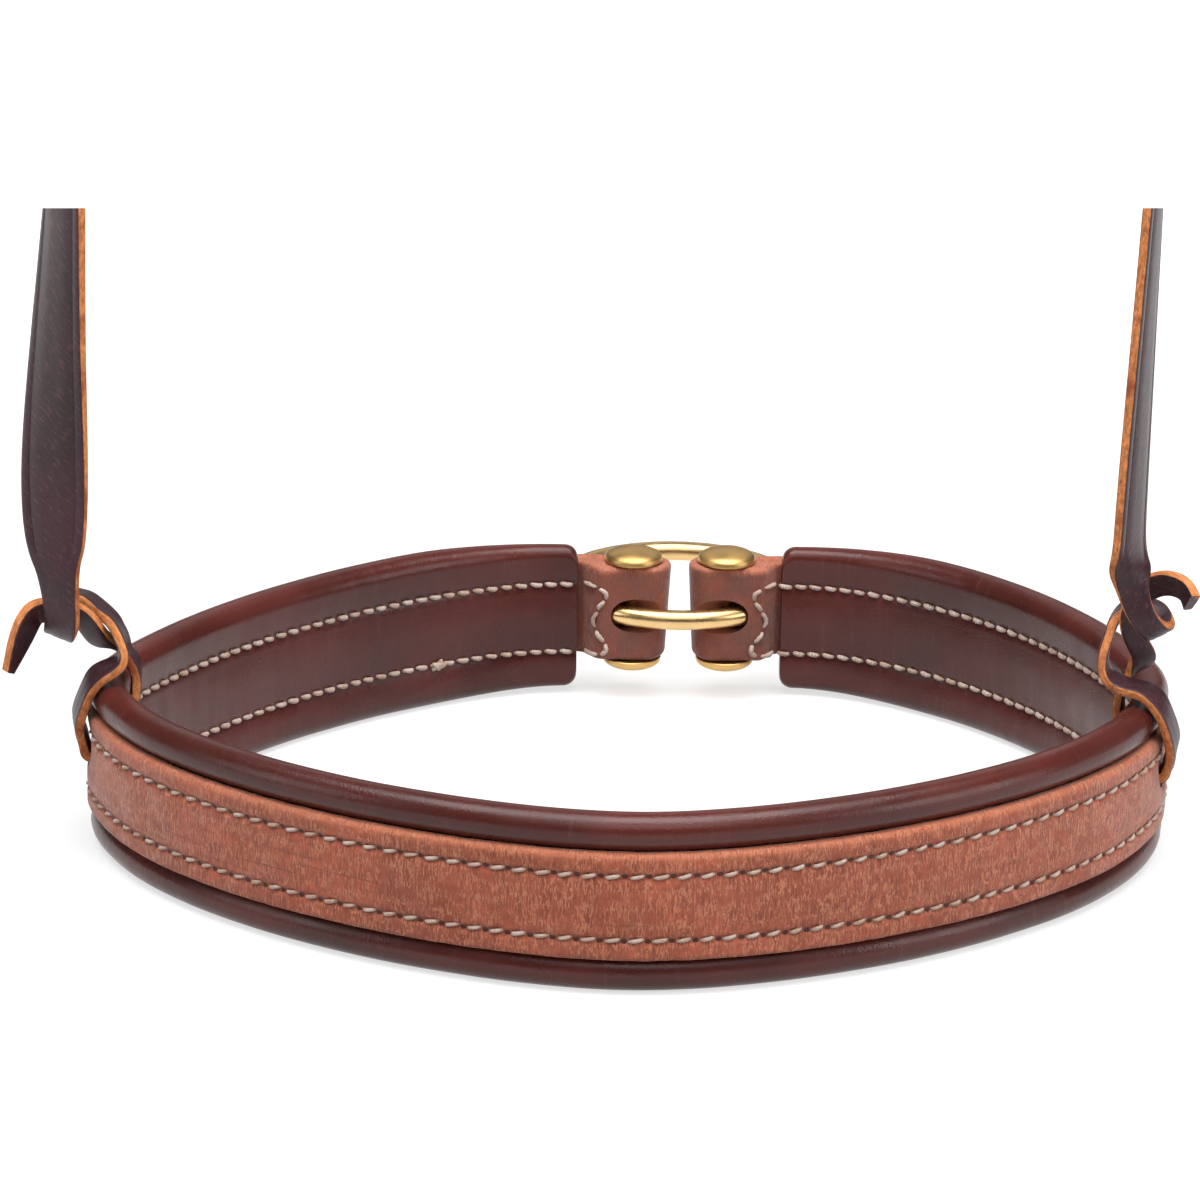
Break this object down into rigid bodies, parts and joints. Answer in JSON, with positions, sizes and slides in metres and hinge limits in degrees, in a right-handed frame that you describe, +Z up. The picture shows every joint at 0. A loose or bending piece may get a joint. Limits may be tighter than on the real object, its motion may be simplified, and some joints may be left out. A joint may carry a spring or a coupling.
{
  "type": "leather noseband",
  "caption": "Padded leather noseband for a horse: rolled backing with a stitched outer strip, a brass ring held by posts in folded rear tabs, and knotted hanger straps.",
  "frame": {"origin": "centre of the nose opening, at the middle of the band's height", "axes": "+X to the right across the nose, along the part's longest extent; -Y to the front of the band, over the bridge of the nose; +Y to the rear ring under the jaw; +Z up the hanger straps"},
  "size_m": [0.2576, 0.2405, 0.1476],
  "materials": {
    "harness_leather": "waxed pull-up grain",
    "burgundy_leather": "semi-gloss",
    "latigo_leather": "oiled, with raw cut edges",
    "brass": "satin",
    "waxed_thread": "matt twisted",
    "filler_cord": "matt",
    "filler_felt": "matt"
  },
  "bodies": {
    "band": {"backing_cover": "burgundy_leather", "flat_filler": "filler_felt", "upper_roll_cord": "filler_cord", "lower_roll_cord": "filler_cord", "nose_strip": "harness_leather", "upper_outer_stitching": "waxed_thread", "lower_outer_stitching": "waxed_thread", "upper_inner_stitching": "waxed_thread", "lower_inner_stitching": "waxed_thread", "left_closing_stitches": "waxed_thread", "right_closing_stitches": "waxed_thread", "left_hanger_knot": "latigo_leather", "right_hanger_knot": "latigo_leather"},
    "ring": {"tie_down_ring": "brass"},
    "left_post": {"left_post_barrel": "brass", "left_post_screw": "brass"},
    "right_post": {"right_post_barrel": "brass", "right_post_screw": "brass"},
    "left_hanger": {"left_hanger_strap": "latigo_leather"},
    "right_hanger": {"right_hanger_strap": "latigo_leather"}
  },
  "joints": [
    {"name": "ring_swing", "type": "hinge", "parent": "band", "child": "ring", "pos_m": [0.01414, 0.09158, 0.0018], "axis": [1, 0, 0], "range_deg": [-10, 6]},
    {"name": "left_post_turn", "type": "hinge", "parent": "band", "child": "left_post", "pos_m": [0.00294, 0.09158, 0.0024], "axis": [0, 0, 1], "continuous": true},
    {"name": "right_post_turn", "type": "hinge", "parent": "band", "child": "right_post", "pos_m": [0.02533, 0.09158, 0.0024], "axis": [0, 0, 1], "continuous": true},
    {"name": "left_hanger_swing", "type": "hinge", "parent": "band", "child": "left_hanger", "pos_m": [-0.12353, -0.01954, 0.04663], "axis": [0.8651, -0.48, 0.1457], "range_deg": [-60, 60], "stiffness_Nm_per_rad": 0.02},
    {"name": "right_hanger_swing", "type": "hinge", "parent": "band", "child": "right_hanger", "pos_m": [0.10684, -0.02082, 0.0497], "axis": [-0.7351, -0.6741, 0.0722], "range_deg": [-60, 60], "stiffness_Nm_per_rad": 0.02}
  ]
}
